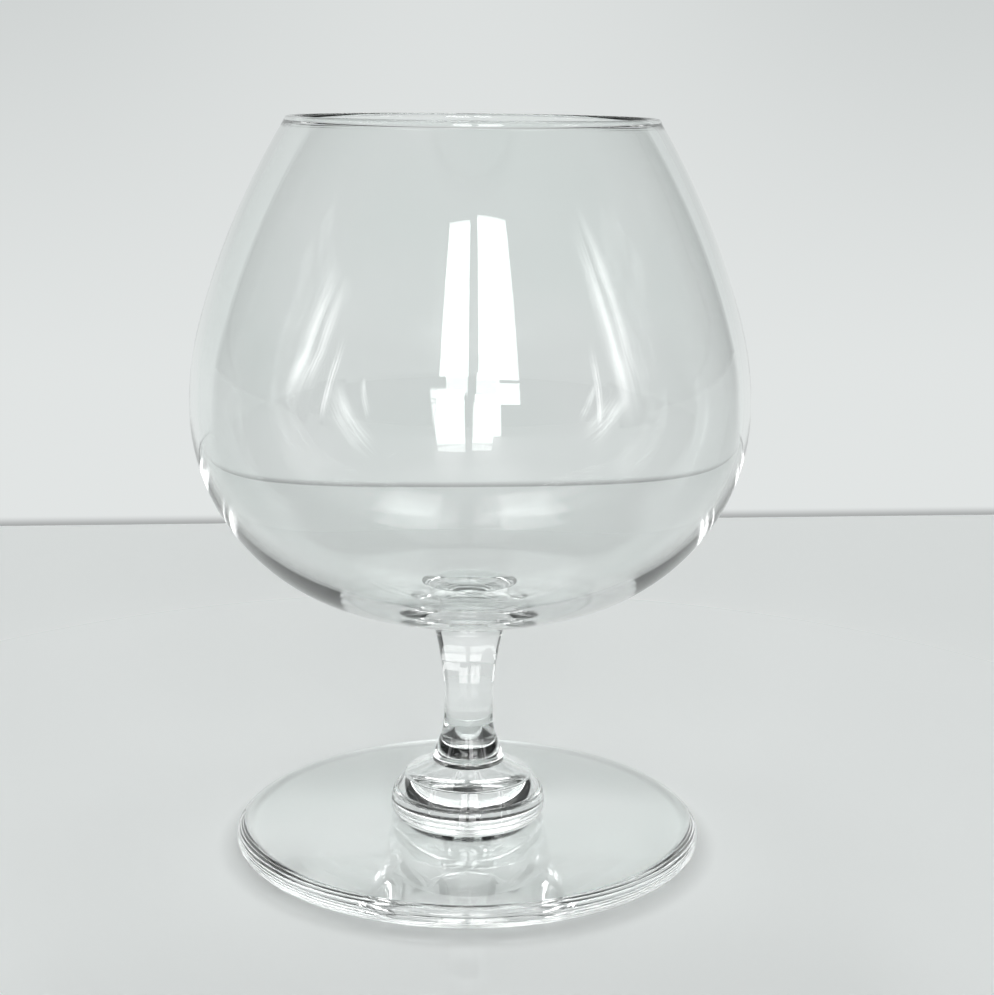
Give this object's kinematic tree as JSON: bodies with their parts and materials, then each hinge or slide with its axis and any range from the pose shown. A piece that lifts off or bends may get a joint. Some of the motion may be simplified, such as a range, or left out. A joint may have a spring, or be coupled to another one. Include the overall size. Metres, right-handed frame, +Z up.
{
  "type": "brandy snifter",
  "caption": "Clear glass brandy snifter: wide bowl drawn in to a narrow rim, on a short waisted stem, flared collar, stepped knop and round foot.",
  "frame": {"origin": "centre of the foot's flat underside, on the surface that the glass stands on", "axes": "+Z up along the axis that every piece is turned about, from the foot to the rim"},
  "size_m": [0.0984, 0.0982, 0.13],
  "materials": {
    "clear_glass": "fire-polished, clear and colourless with a faint cool cast at the edges"
  },
  "bodies": {
    "root": {"bowl": "clear_glass", "stem": "clear_glass", "collar": "clear_glass", "knop": "clear_glass", "foot": "clear_glass"}
  },
  "joints": []
}
